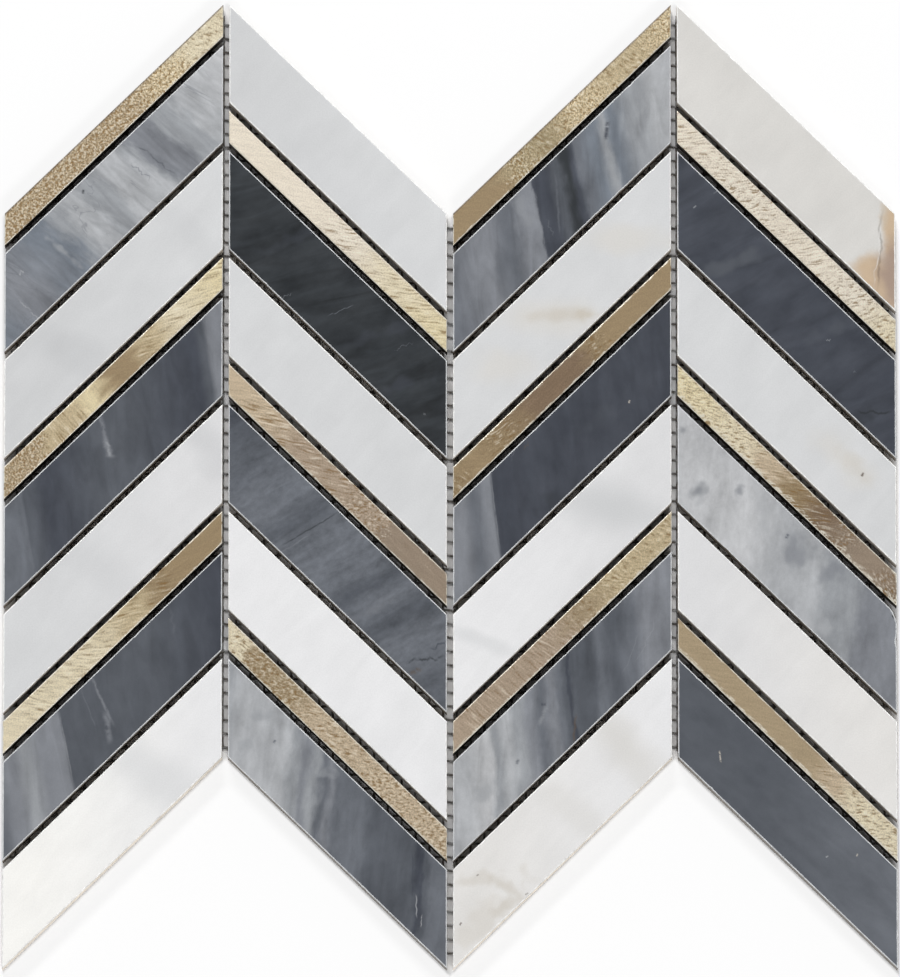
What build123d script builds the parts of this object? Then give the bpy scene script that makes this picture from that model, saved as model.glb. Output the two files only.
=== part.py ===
from build123d import *
from dataclasses import dataclass
from math import cos, floor, radians, tan
import os

# A sheet of chevron mosaic lying face up: slanted marble chips and slim metal strips in columns,
# with open joints, bonded to a mesh of two crossing layers of strands.
# The origin is under the middle of the sheet, on the underside of the mesh. +X runs across the
# columns, +Y towards the crests of the chevron and +Z up through the face.

# Driving dimensions, in millimetres and degrees
COLUMN_COUNT = 4  # columns of chips, rising and falling in turn
REPEAT_COUNT = 3  # times that a column repeats its order of three chips
COLUMN_PITCH = 75.0  # middle of one column joint to the middle of the next
JOINT_WIDTH = 2.0  # open joint between chips, square to their edges
CHEVRON_ANGLE = 44.1  # slope of the chips' long edges
STONE_WIDTH = 23.8  # marble chip, square across its long edges
METAL_WIDTH = 7.8  # metal strip, square across its long edges
CHIP_THICKNESS = 8.0  # all chips, so that their faces are flush
STONE_ARRIS = 0.5  # bevel ground along a marble chip's face edges
METAL_ROUND = 0.3  # rounding along a metal strip's face edges
MESH_PITCH = 4.6  # strand to strand, both ways
STRAND_WIDTH = 0.7
STRAND_THICKNESS = 0.25
MESH_MARGIN = 2.0  # the mesh is trimmed this far inside the chips' outline
BOND_FILM = 0.03  # adhesive between the mesh layers, and between the mesh and the chips

# Sizes that follow from them
slope = tan(radians(CHEVRON_ANGLE))
lean = 1 / cos(radians(CHEVRON_ANGLE))  # a width square to the slope, times this, is its height
chip_run = COLUMN_PITCH - JOINT_WIDTH
chip_rise = chip_run * slope
repeat_height = (METAL_WIDTH + 2 * STONE_WIDTH + 3 * JOINT_WIDTH) * lean
stack_height = REPEAT_COUNT * repeat_height - JOINT_WIDTH * lean
crest = (stack_height + chip_rise) / 2
half_width = (COLUMN_COUNT * COLUMN_PITCH - JOINT_WIDTH) / 2
weft_base = STRAND_THICKNESS + BOND_FILM
chip_base = weft_base + STRAND_THICKNESS + BOND_FILM


@dataclass(frozen=True)
class ChipKind:
    """A kind of chip: its node name, its width and how its face edges are eased."""

    name: str
    width: float
    ease_edges: callable


METAL = ChipKind("metal_strip", METAL_WIDTH, lambda edges: fillet(edges, METAL_ROUND))
GREY = ChipKind("grey_marble", STONE_WIDTH, lambda edges: chamfer(edges, STONE_ARRIS))
WHITE = ChipKind("white_marble", STONE_WIDTH, lambda edges: chamfer(edges, STONE_ARRIS))

# Chips from the top of a column down
RISING_ORDER = [METAL, GREY, WHITE]
FALLING_ORDER = [WHITE, METAL, GREY]


def make_chip(kind, left, left_top, rise):
    """One chip: a slanted block from its upper left corner, eased round its face."""
    height = kind.width * lean
    right = left + chip_run
    right_top = left_top + rise
    outline = Polyline(
        (left, left_top),
        (right, right_top),
        (right, right_top - height),
        (left, left_top - height),
        close=True,
    )
    block = extrude(Pos(0, 0, chip_base) * make_face(outline), CHIP_THICKNESS)
    return kind.ease_edges(block.faces().sort_by(Axis.Z)[-1].edges())


def ridge_height(x):
    """Height of the sheet's top outline at x, with the chevron carried on across the joints."""
    first_crest = COLUMN_PITCH - half_width - JOINT_WIDTH / 2
    off_crest = abs((x - first_crest + COLUMN_PITCH) % (2 * COLUMN_PITCH) - COLUMN_PITCH)
    return crest + slope * (JOINT_WIDTH / 2 - off_crest)


def make_mesh_outline():
    """The chips' zigzag outline drawn in by the margin, as a flat face."""
    reach = half_width - MESH_MARGIN
    drop = MESH_MARGIN * lean
    joints = [(i - COLUMN_COUNT / 2) * COLUMN_PITCH for i in range(1, COLUMN_COUNT)]
    corners = [-reach, *joints, reach]
    top = [(x, ridge_height(x) - drop) for x in corners]
    bottom = [(x, ridge_height(x) - stack_height + drop) for x in reversed(corners)]
    return make_face(Polyline(*top, *bottom, close=True))


def make_strands(places, length, width, outline, base):
    """One layer of the mesh: strands at the given places, trimmed to the outline."""
    strands = Sketch() + [place * Rectangle(length, width) for place in places]
    return extrude(Pos(0, 0, base) * (strands & outline), STRAND_THICKNESS)


def export(solid, name):
    """Write one node."""
    export_step(solid, f"parts/{name}.step")


os.makedirs("parts", exist_ok=True)

# Chips, column by column
for column in range(COLUMN_COUNT):
    rising = column % 2 == 0
    left = column * COLUMN_PITCH - half_width
    top = crest - chip_rise if rising else crest
    rise = chip_rise if rising else -chip_rise
    order = RISING_ORDER if rising else FALLING_ORDER
    for row, kind in enumerate(order * REPEAT_COUNT):
        export(make_chip(kind, left, top, rise), f"{kind.name}_c{column + 1}_r{row + 1}")
        top -= (kind.width + JOINT_WIDTH) * lean

# Mesh: warp strands clear of the sheet's middle line, weft strands from it outwards
outline = make_mesh_outline()
mesh_box = outline.bounding_box()
warp_count = 2 * floor(mesh_box.max.X / MESH_PITCH + 0.5)
weft_count = 2 * floor(mesh_box.max.Y / MESH_PITCH) + 1
warp_places = GridLocations(MESH_PITCH, 0, warp_count, 1)
weft_places = GridLocations(0, MESH_PITCH, 1, weft_count)
warp = make_strands(warp_places, STRAND_WIDTH, mesh_box.size.Y, outline, 0)
weft = make_strands(weft_places, mesh_box.size.X, STRAND_WIDTH, outline, weft_base)
export(warp, "mesh_warp_strands")
export(weft, "mesh_weft_strands")
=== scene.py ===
"""Looks of a chevron mosaic tile sheet: honed marble chips and worked gold-toned strips on a strand mesh."""

import logging
import math
import random
from dataclasses import dataclass, field, replace
from enum import Enum
from typing import Iterable

import bmesh
import bpy
from mathutils import Matrix, Vector, noise


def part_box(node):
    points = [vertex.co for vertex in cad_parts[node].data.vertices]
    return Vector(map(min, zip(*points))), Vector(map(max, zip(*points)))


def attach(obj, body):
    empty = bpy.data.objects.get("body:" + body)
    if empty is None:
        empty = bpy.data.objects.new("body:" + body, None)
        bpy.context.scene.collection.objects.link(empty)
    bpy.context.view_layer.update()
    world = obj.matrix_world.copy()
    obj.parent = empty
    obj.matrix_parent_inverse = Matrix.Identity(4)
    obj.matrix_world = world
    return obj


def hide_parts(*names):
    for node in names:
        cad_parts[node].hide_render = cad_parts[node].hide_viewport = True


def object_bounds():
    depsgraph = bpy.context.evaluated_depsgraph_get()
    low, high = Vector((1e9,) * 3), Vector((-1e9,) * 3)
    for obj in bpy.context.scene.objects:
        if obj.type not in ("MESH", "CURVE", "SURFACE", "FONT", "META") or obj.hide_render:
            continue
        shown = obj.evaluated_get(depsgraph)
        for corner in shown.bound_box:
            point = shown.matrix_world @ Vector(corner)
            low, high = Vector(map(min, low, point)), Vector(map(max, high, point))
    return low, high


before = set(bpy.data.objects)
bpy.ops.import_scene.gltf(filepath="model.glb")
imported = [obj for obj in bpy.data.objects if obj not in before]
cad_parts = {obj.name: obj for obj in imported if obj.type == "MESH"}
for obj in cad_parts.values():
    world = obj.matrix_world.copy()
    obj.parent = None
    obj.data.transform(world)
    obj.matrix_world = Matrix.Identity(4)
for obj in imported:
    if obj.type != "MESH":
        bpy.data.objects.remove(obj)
CAD_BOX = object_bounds()

log = logging.getLogger("mosaic_sheet")

MM = 0.001
BODY = "root"
SHEET_MIDDLE = Vector()
SEED_COUNT = 97
Socket = bpy.types.NodeSocket
Value = float | Socket
Colour = tuple[float, ...] | Socket


class Tone(Enum):
    """Colours of the stone and metal, as 8-bit display values."""

    CHARCOAL = (44, 48, 52)
    INK_SLATE = (64, 68, 77)
    SLATE = (84, 88, 95)
    STEEL = (102, 106, 113)
    BLUE_GREY = (114, 121, 130)
    PEWTER = (126, 129, 135)
    ASH = (148, 151, 155)
    MIST = (170, 172, 175)
    FOG = (186, 187, 189)
    PEARL = (207, 208, 209)
    CHALK = (214, 215, 216)
    SNOW = (222, 222, 223)
    MILK = (234, 234, 235)
    CREAM = (251, 250, 246)
    IVORY = (216, 214, 210)
    LINEN = (229, 227, 224)
    BEIGE = (201, 194, 182)
    OCHRE = (200, 174, 142)
    ROSE = (166, 145, 131)
    UMBER = (92, 78, 66)
    # Dark brown painted shade for the creases of the metal.
    CREASE = (156, 122, 74)
    SILVER_CHAMPAGNE = (227, 217, 200)
    CHAMPAGNE = (222, 210, 182)
    PALE_GOLD = (221, 207, 170)
    STRAW = (195, 178, 145)
    OLD_GOLD = (170, 155, 124)
    TAN = (169, 151, 123)
    ROSE_TAN = (174, 156, 136)
    SAND = (196, 178, 152)
    TAUPE = (150, 134, 117)
    BRONZE = (155, 135, 105)
    BROWN = (129, 109, 88)
    # Pale bright metal for worn rims and edges, also used as painted highlight.
    WORN_RIM = (246, 240, 224)
    # Dark sides of the metal strips: partly their own dark colour, partly painted shade of the joints.
    DARK_METAL = (66, 58, 49)
    SAWN_WHITE = (240, 230, 216)
    SAWN_GREY = (126, 120, 113)
    # Pale ground arris tones: partly the ground stone's own tone, partly a painted highlight.
    GROUND_GREY = (212, 214, 216)
    GROUND_WHITE = (250, 250, 248)
    RESIN = (150, 150, 149)
    STRAND_GREY = (98, 97, 95)

    @property
    def linear(self) -> tuple[float, float, float, float]:
        """The colour as scene-linear values with full alpha."""
        channels = (c / 255 for c in self.value)
        return (*(c / 12.92 if c <= 0.04045 else ((c + 0.055) / 1.055) ** 2.4 for c in channels), 1.0)


@dataclass(frozen=True)
class Strokes:
    """Strokes pressed into a metal face.

    Attributes:
        length: length of a stroke in millimetres.
        breadth: its breadth in millimetres.
        contrast: how much the strokes stand out.
        speckle: how much the fine grain between them stands out.
        depth: depth of the relief in millimetres.
        rough: roughness of the metal.
        bend: how far the strokes sway, in millimetres.
    """

    length: float
    breadth: float
    contrast: float
    speckle: float
    depth: float
    rough: float
    bend: float = 0.5


class Texture(Enum):
    """How a stretch of a metal strip's face was worked."""

    SMOOTH = Strokes(9.0, 0.8, 0.22, 0.12, 0.02, 0.42)
    STIPPLED = Strokes(1.1, 0.55, 1.7, 0.6, 0.06, 0.42)
    CRUMPLED = Strokes(2.6, 0.6, 0.95, 0.25, 0.055, 0.36, 1.0)
    COMBED = Strokes(6.0, 0.55, 0.85, 0.18, 0.045, 0.38)
    GRAINED = Strokes(1.5, 0.65, 1.15, 0.3, 0.06, 0.36)


@dataclass(frozen=True)
class Noise:
    """A fractal noise laid over a piece.

    Attributes:
        size: its size along its direction, across it and in depth, in millimetres.
        shift: what it adds to the piece's seed.
        detail: how many finer layers it has.
        rough: how strong they are.
        warp: how far it is distorted.
        deep: whether it changes in depth too.
    """

    size: tuple[float, float, float]
    shift: float
    detail: float = 3
    rough: float = 0.5
    warp: float = 0
    deep: bool = False


@dataclass(frozen=True)
class ToneStop:
    """A colour at a place between 0 and 1 across a chip."""

    place: float
    tone: Tone


@dataclass(frozen=True)
class Grain:
    """Streaks in marble: their direction on the sheet in degrees, contrast, and size in millimetres."""

    angle: float
    strength: float
    breadth: float = 3.0
    length: float = 24.0

    @property
    def streaks(self) -> Noise:
        """The noise that makes the streaks."""
        return Noise((self.length, self.breadth, self.breadth), 11.1, detail=4, rough=0.48, warp=0.8)


@dataclass(frozen=True)
class Veins:
    """Scattered thin lines in marble: direction in degrees, colour, strength, and spacing in millimetres."""

    angle: float
    tone: Tone
    strength: float
    spacing: float = 14.0
    fineness: float = 0.012

    @property
    def lines(self) -> Noise:
        """The noise whose middle level makes the lines."""
        return replace(self.breaks, shift=self.angle, detail=4, rough=0.55, warp=0.4)

    @property
    def breaks(self) -> Noise:
        """The noise that breaks the lines."""
        return Noise((3 * self.spacing, self.spacing, self.spacing), 41.9, detail=2)


@dataclass(frozen=True)
class Wisp:
    """One thin line or fleck at a place from the chip's middle, in millimetres along X and Y."""

    DEPTH = 50
    LEAST_TEAR = (0.6, 0.5)

    x: float
    y: float
    angle: float
    length: float
    width: float
    tone: Tone
    strength: float = 0.7
    sway: float = 1.5

    @property
    def tears(self) -> Noise:
        """The noise that breaks the line."""
        along, across = self.LEAST_TEAR
        return Noise((max(self.length / 6, along), max(self.width, across), self.DEPTH), self.y, 4, 0.6)


@dataclass(frozen=True)
class Patch:
    """A stain or cloud at a place from the chip's middle, in millimetres along X and Y."""

    DEPTH = 50
    LEAST_TEAR = 1.5

    x: float
    y: float
    width: float
    height: float
    tone: Tone
    strength: float = 0.8
    angle: float = 0.0
    ragged: float = 0.5
    softness: float = 0.9

    @property
    def tears(self) -> Noise:
        """The noise that makes its border ragged, with less detail where it is soft."""
        size = max(math.sqrt(self.width * self.height), self.LEAST_TEAR)
        return Noise((size, size, size), self.x, detail=5 - 4 * self.softness, rough=0.55)


@dataclass(frozen=True)
class Nick:
    """A worn place on a chip's edge, at a place from the chip's middle, all in millimetres."""

    x: float
    y: float
    radius: float
    depth: float

    def depth_at(self, place: Vector) -> float:
        """Depth of the nick at a place from the chip's middle."""
        off = math.hypot(place.x - self.x, place.y - self.y) / self.radius
        return self.depth * max(0.0, 1 - off * off)


@dataclass(frozen=True)
class StoneFinish:
    """The pattern of one marble chip.

    Attributes:
        tones: colours across the chip, along tone_angle.
        tone_angle: direction in which the colours follow each other, in degrees on the sheet.
        grain: streaks.
        clouds: contrast of the soft blotches.
        mottle: contrast of the small blotches.
        drift: how far the borders between the colours wander, as a share of the chip.
        veins: scattered thin lines.
        wisps: single thin lines and flecks.
        patches: stains and clouds.
        nicks: worn places that the photo shows.
    """

    tones: tuple[ToneStop, ...]
    tone_angle: float = 0.0
    grain: Grain = Grain(0.0, 0.03)
    clouds: float = 0.06
    mottle: float = 0.03
    drift: float = 0.06
    veins: tuple[Veins, ...] = ()
    wisps: tuple[Wisp, ...] = ()
    patches: tuple[Patch, ...] = ()
    nicks: tuple[Nick, ...] = ()


@dataclass(frozen=True)
class MetalStop:
    """Colour, texture and stroke direction at a place from 0 at a strip's left end to 1 at its right."""

    place: float
    tone: Tone
    texture: Texture
    angle: float = -8.0


@dataclass(frozen=True)
class MetalFinish:
    """How one metal strip is worked along its length.

    Attributes:
        stops: colours and textures from its left end to its right end.
        lower_wear: how far the bright wear and painted highlight reach in from its lower edge, in
            millimetres.
        upper_wear: how far they reach in from its upper edge.
        upper_line: width of a dark line along its upper edge, in millimetres.
    """

    METALLIC = 0.45

    stops: tuple[MetalStop, ...]
    lower_wear: float = 0.6
    upper_wear: float = 0.5
    upper_line: float = 0.0

    def between(self, place: float) -> tuple[MetalStop, MetalStop, float]:
        """The stops on either side of a place along the strip.

        Args:
            place: 0 at the left end, 1 at the right end.

        Returns:
            The stop before, the stop after and the share of the one after.
        """
        pairs = list(zip(self.stops, self.stops[1:]))
        before, after = next((pair for pair in pairs if place <= pair[1].place), pairs[-1])
        share = min(max((place - before.place) / (after.place - before.place), 0.0), 1.0)
        eased = share * share * (3 - 2 * share)
        return before, after, eased


def stops(*pairs: tuple[float, Tone]) -> tuple[ToneStop, ...]:
    """Tone stops from pairs of place and tone."""
    return tuple(ToneStop(place, tone) for place, tone in pairs)


def worked(*fields: tuple, **other: float) -> MetalFinish:
    """A metal finish from the fields of its stops, and its own other fields."""
    return MetalFinish(tuple(MetalStop(*stop) for stop in fields), **other)


def white(left: Tone, right: Tone, patches: tuple[Patch, ...] = (),
          wisps: tuple[Wisp, ...] = ()) -> StoneFinish:
    """A quiet white marble that changes little along its length.

    Args:
        left: colour of its left end.
        right: colour of its right end.
        patches: stains and clouds.
        wisps: single thin lines and flecks.

    Returns:
        The finish.
    """
    faint = Grain(angle=50, strength=0.015, breadth=6, length=30)
    return StoneFinish(stops((0.0, left), (1.0, right)), grain=faint, clouds=0.025, mottle=0.008,
                       patches=patches, wisps=wisps)


(CHARCOAL, INK_SLATE, SLATE, STEEL, BLUE_GREY, PEWTER, ASH, MIST, FOG, PEARL, CHALK, SNOW, MILK, CREAM,
 IVORY, LINEN, BEIGE, OCHRE, ROSE, UMBER, CREASE, SILVER_CHAMPAGNE, CHAMPAGNE, PALE_GOLD, STRAW, OLD_GOLD,
 TAN, ROSE_TAN, SAND, TAUPE, BRONZE, BROWN, WORN_RIM, DARK_METAL, SAWN_WHITE, SAWN_GREY, GROUND_GREY,
 GROUND_WHITE, RESIN, STRAND_GREY) = Tone
SMOOTH, STIPPLED, CRUMPLED, COMBED, GRAINED = Texture

STONE_FINISHES: dict[str, StoneFinish] = {
    "grey_marble_c1_r2": StoneFinish(
        stops((0.0, BLUE_GREY), (0.16, PEWTER), (0.32, BLUE_GREY), (0.37, ASH), (0.4, MIST), (0.45, ASH),
              (0.5, ASH), (0.54, MIST), (0.6, MIST), (0.635, ASH), (0.66, PEWTER), (0.7, PEWTER),
              (0.73, ASH), (0.78, ASH), (0.81, MIST), (1.0, FOG)),
        tone_angle=51, grain=Grain(-39, 0.18, 3.6, 20), clouds=0.12, mottle=0.05, drift=0.07,
        veins=(Veins(-38, STEEL, 0.4, 12),),
        wisps=(Wisp(14, 13, -38, 20, 1.0, SLATE, 0.75, 2.0), Wisp(9, 9, -48, 10, 0.9, STEEL, 0.6, 2.0),
               Wisp(-31, -25, 20, 2.4, 1.4, MIST, 0.8), Wisp(-28, -38, -45, 12, 0.8, MIST, 0.6),
               Wisp(-10.3, 2.2, 80, 1.8, 1.4, CHARCOAL, 0.9, 0.2),
               Wisp(-11.8, 4.6, 40, 1.6, 1.2, INK_SLATE, 0.8)),
        patches=(Patch(-17, -18, 12, 1.4, MIST, 0.5, angle=-42),
                 Patch(24, 8, 5, 1.8, PEWTER, 0.7, angle=-45),
                 Patch(15, 12, 12, 2.4, STEEL, 0.5, angle=-38)),
    ),
    "grey_marble_c1_r5": StoneFinish(
        stops((0.0, STEEL), (0.13, STEEL), (0.143, SLATE), (0.24, INK_SLATE), (0.5, SLATE),
              (0.86, INK_SLATE), (0.9, SLATE), (0.93, PEWTER), (1.0, PEWTER)),
        tone_angle=9, grain=Grain(98, 0.16, 5, 22), clouds=0.12, mottle=0.04, drift=0.012,
        wisps=(Wisp(-3.2, 7, 102, 15, 2.2, PEWTER, 0.75, 0.6),
               Wisp(-1.8, 1.2, 112, 9, 3.6, PEWTER, 0.9, 1.2), Wisp(-1.6, 1, 100, 7, 1.6, ASH, 0.8, 0.8),
               Wisp(-28.2, -28, -81, 28, 0.7, STEEL, 0.5, 0.3)),
    ),
    "grey_marble_c1_r8": StoneFinish(
        stops((0.0, STEEL), (0.1, PEWTER), (0.16, ASH), (0.22, PEWTER), (0.3, PEWTER), (0.313, SLATE),
              (0.4, SLATE), (0.6, SLATE), (1.0, INK_SLATE)),
        tone_angle=11.5, grain=Grain(97, 0.12, 5, 26), clouds=0.12, mottle=0.03, drift=0.014,
        wisps=(Wisp(-3.5, 2, -66, 22, 1.6, PEWTER, 0.8, 0.8),
               Wisp(-1.6, -7, -80, 13, 3.0, PEWTER, 0.75, 0.8), Wisp(-8, -1, -70, 18, 0.8, STEEL, 0.7, 0.8),
               Wisp(20, 28, -80, 12, 1.6, STEEL, 0.4), Wisp(-15.3, -14, -79, 26, 0.8, ASH, 0.4, 0.3)),
    ),
    "grey_marble_c2_r3": StoneFinish(
        stops((0.0, CHARCOAL), (1.0, CHARCOAL)),
        grain=Grain(17, 0.34, 4.5, 24), clouds=0.24, mottle=0.06,
        wisps=(Wisp(1, -2, 22, 11, 0.5, STEEL, 0.7, 0.8), Wisp(-17, 3, 24, 4, 0.5, PEWTER, 0.6),
               Wisp(22, -14, 20, 8, 0.4, STEEL, 0.7), Wisp(29, -37, 10, 1.0, 0.6, ASH, 0.8)),
        patches=(Patch(14, -10, 16, 3.2, INK_SLATE, 0.4, angle=18),
                 Patch(18, -28, 14, 3, INK_SLATE, 0.45, angle=14),
                 Patch(-16, 22, 14, 2.6, INK_SLATE, 0.35, angle=22)),
    ),
    "grey_marble_c2_r6": StoneFinish(
        stops((0.0, INK_SLATE), (0.1, SLATE), (0.28, STEEL), (0.37, SLATE), (0.4, STEEL), (0.56, STEEL),
              (0.6, SLATE), (0.66, STEEL), (0.72, SLATE), (0.78, STEEL), (1.0, SLATE)),
        tone_angle=-60, grain=Grain(30, 0.16, 4.0, 22), clouds=0.14, mottle=0.16, drift=0.03,
        veins=(Veins(70, STEEL, 0.35, 7),),
        wisps=(Wisp(-9, 10, 31, 26, 0.9, CHARCOAL, 0.7, 0.8), Wisp(-14, 5, 31, 14, 0.8, PEWTER, 0.5, 0.8),
               Wisp(29, -34, 8, 16, 1.4, CHARCOAL, 0.8, 2.5), Wisp(26, -38, 20, 5, 2.4, UMBER, 0.6, 1.0),
               Wisp(34, -29, 20, 8, 1.2, INK_SLATE, 0.8, 1.5)),
        patches=(Patch(10, -10, 15, 1.8, INK_SLATE, 0.4, angle=27),
                 Patch(12, -17, 12, 2.2, PEWTER, 0.35, angle=27)),
    ),
    "grey_marble_c2_r9": StoneFinish(
        stops((0.0, ASH), (0.1, MIST), (0.27, MIST), (0.31, ASH), (0.35, PEWTER), (0.39, ASH),
              (0.43, STEEL), (0.46, PEWTER), (0.5, STEEL), (0.58, STEEL), (0.64, SLATE), (0.82, SLATE),
              (0.85, INK_SLATE), (0.87, SLATE), (0.9, STEEL), (1.0, STEEL)),
        tone_angle=-8, grain=Grain(82, 0.1, 4.0, 20), clouds=0.18, mottle=0.05, drift=0.05,
        wisps=(Wisp(26.3, -31, 92, 9, 0.7, MIST, 0.7, 0.4), Wisp(25, -22, 90, 22, 0.8, INK_SLATE, 0.6, 0.5),
               Wisp(28, -36, 86, 5, 0.6, FOG, 0.6, 0.3), Wisp(-21, 24, 60, 1.6, 1.4, STEEL, 0.9, 0.2)),
        patches=(Patch(-26, 33, 5, 3.5, ASH, 0.6), Patch(-30, 24, 3, 6, ASH, 0.5, angle=-15),
                 Patch(-4, 14, 4, 3, ASH, 0.5)),
    ),
    "grey_marble_c3_r2": StoneFinish(
        stops((0.0, STEEL), (0.2, PEWTER), (0.29, STEEL), (0.35, PEWTER), (0.4, PEWTER), (0.412, INK_SLATE),
              (0.46, INK_SLATE), (0.5, SLATE), (0.535, CHARCOAL), (0.56, INK_SLATE), (0.59, STEEL),
              (0.66, BLUE_GREY), (0.7, ASH), (0.735, BLUE_GREY), (0.82, ASH), (0.9, MIST), (1.0, MIST)),
        tone_angle=12, grain=Grain(97, 0.16, 4.4, 22), clouds=0.18, mottle=0.03, drift=0.035,
        wisps=(Wisp(-1.5, -2, 94, 26, 1.2, STEEL, 0.55, 0.8), Wisp(15, 23, 82, 8, 2.4, INK_SLATE, 0.9, 0.3),
               Wisp(-4, -10, -70, 7, 0.8, STEEL, 0.5, 2.0)),
        patches=(Patch(-20, -26, 3.5, 9, STEEL, 0.6, angle=8), Patch(-13, -6, 3.5, 9, ASH, 0.4, angle=12)),
    ),
    "grey_marble_c3_r5": StoneFinish(
        stops((0.0, PEWTER), (0.07, PEWTER), (0.13, STEEL), (0.2, PEWTER), (0.217, INK_SLATE),
              (0.6, INK_SLATE), (1.0, INK_SLATE)),
        tone_angle=7, grain=Grain(97, 0.12, 5, 24), clouds=0.14, mottle=0.04, drift=0.012,
        wisps=(Wisp(22.4, 16.8, 80, 1.4, 1.0, BEIGE, 0.8, 0.2),
               Wisp(-22.4, -20, -83, 28, 0.6, ASH, 0.4, 0.3), Wisp(-16, 0, 70, 8, 0.6, STEEL, 0.5),
               Wisp(-12, 2, 60, 4, 0.8, UMBER, 0.5)),
        patches=(Patch(-3, -17, 8, 5, CHARCOAL, 0.4), Patch(12, 12, 12, 5, SLATE, 0.3, angle=40)),
    ),
    "grey_marble_c3_r8": StoneFinish(
        stops((0.0, MIST), (0.08, MIST), (0.17, FOG), (0.21, ASH), (0.26, MIST), (0.31, ASH),
              (0.37, PEWTER), (0.42, STEEL), (0.46, PEWTER), (0.5, STEEL), (0.53, SLATE),
              (0.545, INK_SLATE), (0.56, SLATE), (0.64, SLATE), (0.67, STEEL), (0.72, SLATE), (0.8, STEEL),
              (0.88, PEWTER), (1.0, PEWTER)),
        tone_angle=5, grain=Grain(92, 0.13, 4.0, 24), clouds=0.16, mottle=0.05, drift=0.04,
        wisps=(Wisp(-6.4, 0.5, 0, 2.2, 1.6, INK_SLATE, 0.8, 0.2), Wisp(-6.5, -3, 70, 9, 2.4, ASH, 0.5, 1.0),
               Wisp(-15, -18.6, 70, 2.4, 1.8, STEEL, 0.8, 0.2), Wisp(4, -8, 84, 12, 1.4, UMBER, 0.6, 0.6),
               Wisp(24, 20, 66, 22, 0.6, PEWTER, 0.5), Wisp(28, 22, 66, 18, 0.6, ASH, 0.4)),
        patches=(Patch(-26, -30, 5, 7, ASH, 0.5, angle=-12),),
    ),
    "grey_marble_c4_r3": StoneFinish(
        stops((0.0, INK_SLATE), (1.0, INK_SLATE)),
        grain=Grain(27, 0.16, 6, 24), clouds=0.16, mottle=0.03,
        wisps=(Wisp(-30.6, 33, 40, 1.6, 0.8, ASH, 0.8, 0.2), Wisp(-23.5, 38, 30, 2.4, 0.7, STEEL, 0.9, 0.3),
               Wisp(14, -12, 10, 2, 0.6, ASH, 0.7), Wisp(22.7, -22.7, 30, 1, 0.7, STEEL, 0.9),
               Wisp(29, -36.3, -6, 15, 1.3, CHARCOAL, 0.95, 2.0)),
        patches=(Patch(-17, 15, 17, 3.6, SLATE, 0.8, angle=27), Patch(27, -38, 8, 3.4, CHARCOAL, 0.5),
                 Patch(16, -8, 14, 3.4, SLATE, 0.4, angle=27)),
    ),
    "grey_marble_c4_r6": StoneFinish(
        stops((0.0, FOG), (0.3, FOG), (0.48, MIST), (0.6, MIST), (0.7, ASH), (0.77, ASH), (0.84, PEWTER),
              (1.0, PEWTER)),
        tone_angle=-8, grain=Grain(86, 0.06, 4.4, 16), clouds=0.16, mottle=0.07, drift=0.08,
        wisps=(Wisp(0, 7.4, 60, 2.2, 1.8, STEEL, 0.95, 0.1),),
        patches=(Patch(-16, 23, 2.4, 3.4, PEWTER, 0.7, 0, 0.3), Patch(-29, 22, 6, 5, MIST, 0.8),
                 Patch(-29.2, 23.2, 4.6, 3.2, STEEL, 0.6, 30, 0.25),
                 Patch(-35, 43, 3, 1.8, STEEL, 0.5, 50, 0.25), Patch(3, 3, 6, 8, PEWTER, 0.7, angle=-6),
                 Patch(14, -4, 5, 7, PEWTER, 0.7, angle=-20), Patch(10, -22, 5, 6, MIST, 0.6),
                 Patch(-8, 12, 4, 9, MIST, 0.6, angle=-8)),
        nicks=(Nick(36.5, -18.8, 2.6, 0.75), Nick(36.5, -28.0, 1.6, 0.5)),
    ),
    "grey_marble_c4_r9": StoneFinish(
        stops((0.0, SLATE), (0.3, SLATE), (1.0, STEEL)),
        grain=Grain(-40, 0.06, 6, 22), clouds=0.1, mottle=0.03,
        wisps=(Wisp(-22.5, 19, 97, 4.5, 0.9, BEIGE, 0.8, 0.5),
               Wisp(13, -14.5, 30, 1.2, 0.8, MIST, 0.8, 0.2), Wisp(23, -14, 60, 1.2, 0.8, BEIGE, 0.8, 0.2)),
    ),
    "white_marble_c1_r3": white(
        PEARL, CHALK,
        (Patch(-16, -15, 34, 9, FOG, 0.3, -25, 0.3), Patch(24, 24, 26, 8, FOG, 0.18, -45, 0.3)),
    ),
    "white_marble_c1_r6": white(
        CHALK, SNOW,
        (Patch(-5, -4, 40, 10, FOG, 0.17, -25, 0.2), Patch(34, 36, 26, 9, FOG, 0.4, -48, 0.2)),
    ),
    "white_marble_c1_r9": white(CREAM, MILK, (Patch(14, 13, 44, 13, CHALK, 0.6, -28, 0.15),)),
    "white_marble_c2_r1": white(PEARL, CHALK, (Patch(-24, 18, 30, 9, PEARL, 0.5, 10, 0.2),)),
    "white_marble_c2_r4": white(CHALK, CHALK),
    "white_marble_c2_r7": white(MILK, MILK),
    "white_marble_c3_r3": white(
        CHALK, CHALK,
        (Patch(-5, -4, 38, 9, IVORY, 0.9, 0, 0.25), Patch(-2, -3.4, 17, 4, BEIGE, 0.6, 0, 0.3),
         Patch(7, -3.6, 6, 3, BEIGE, 0.8, 0, 0.4), Patch(20, 22, 28, 7, IVORY, 0.9, -5, 0.25),
         Patch(-20, -21, 17, 9, IVORY, 0.8, 0, 0.25)),
    ),
    "white_marble_c3_r6": white(
        MILK, SNOW,
        (Patch(17, 17, 44, 12, PEARL, 1.0, -14, 0.15), Patch(-28, -27, 24, 4, CHALK, 0.6, -20, 0.2)),
    ),
    "white_marble_c3_r9": white(
        LINEN, MILK,
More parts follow.
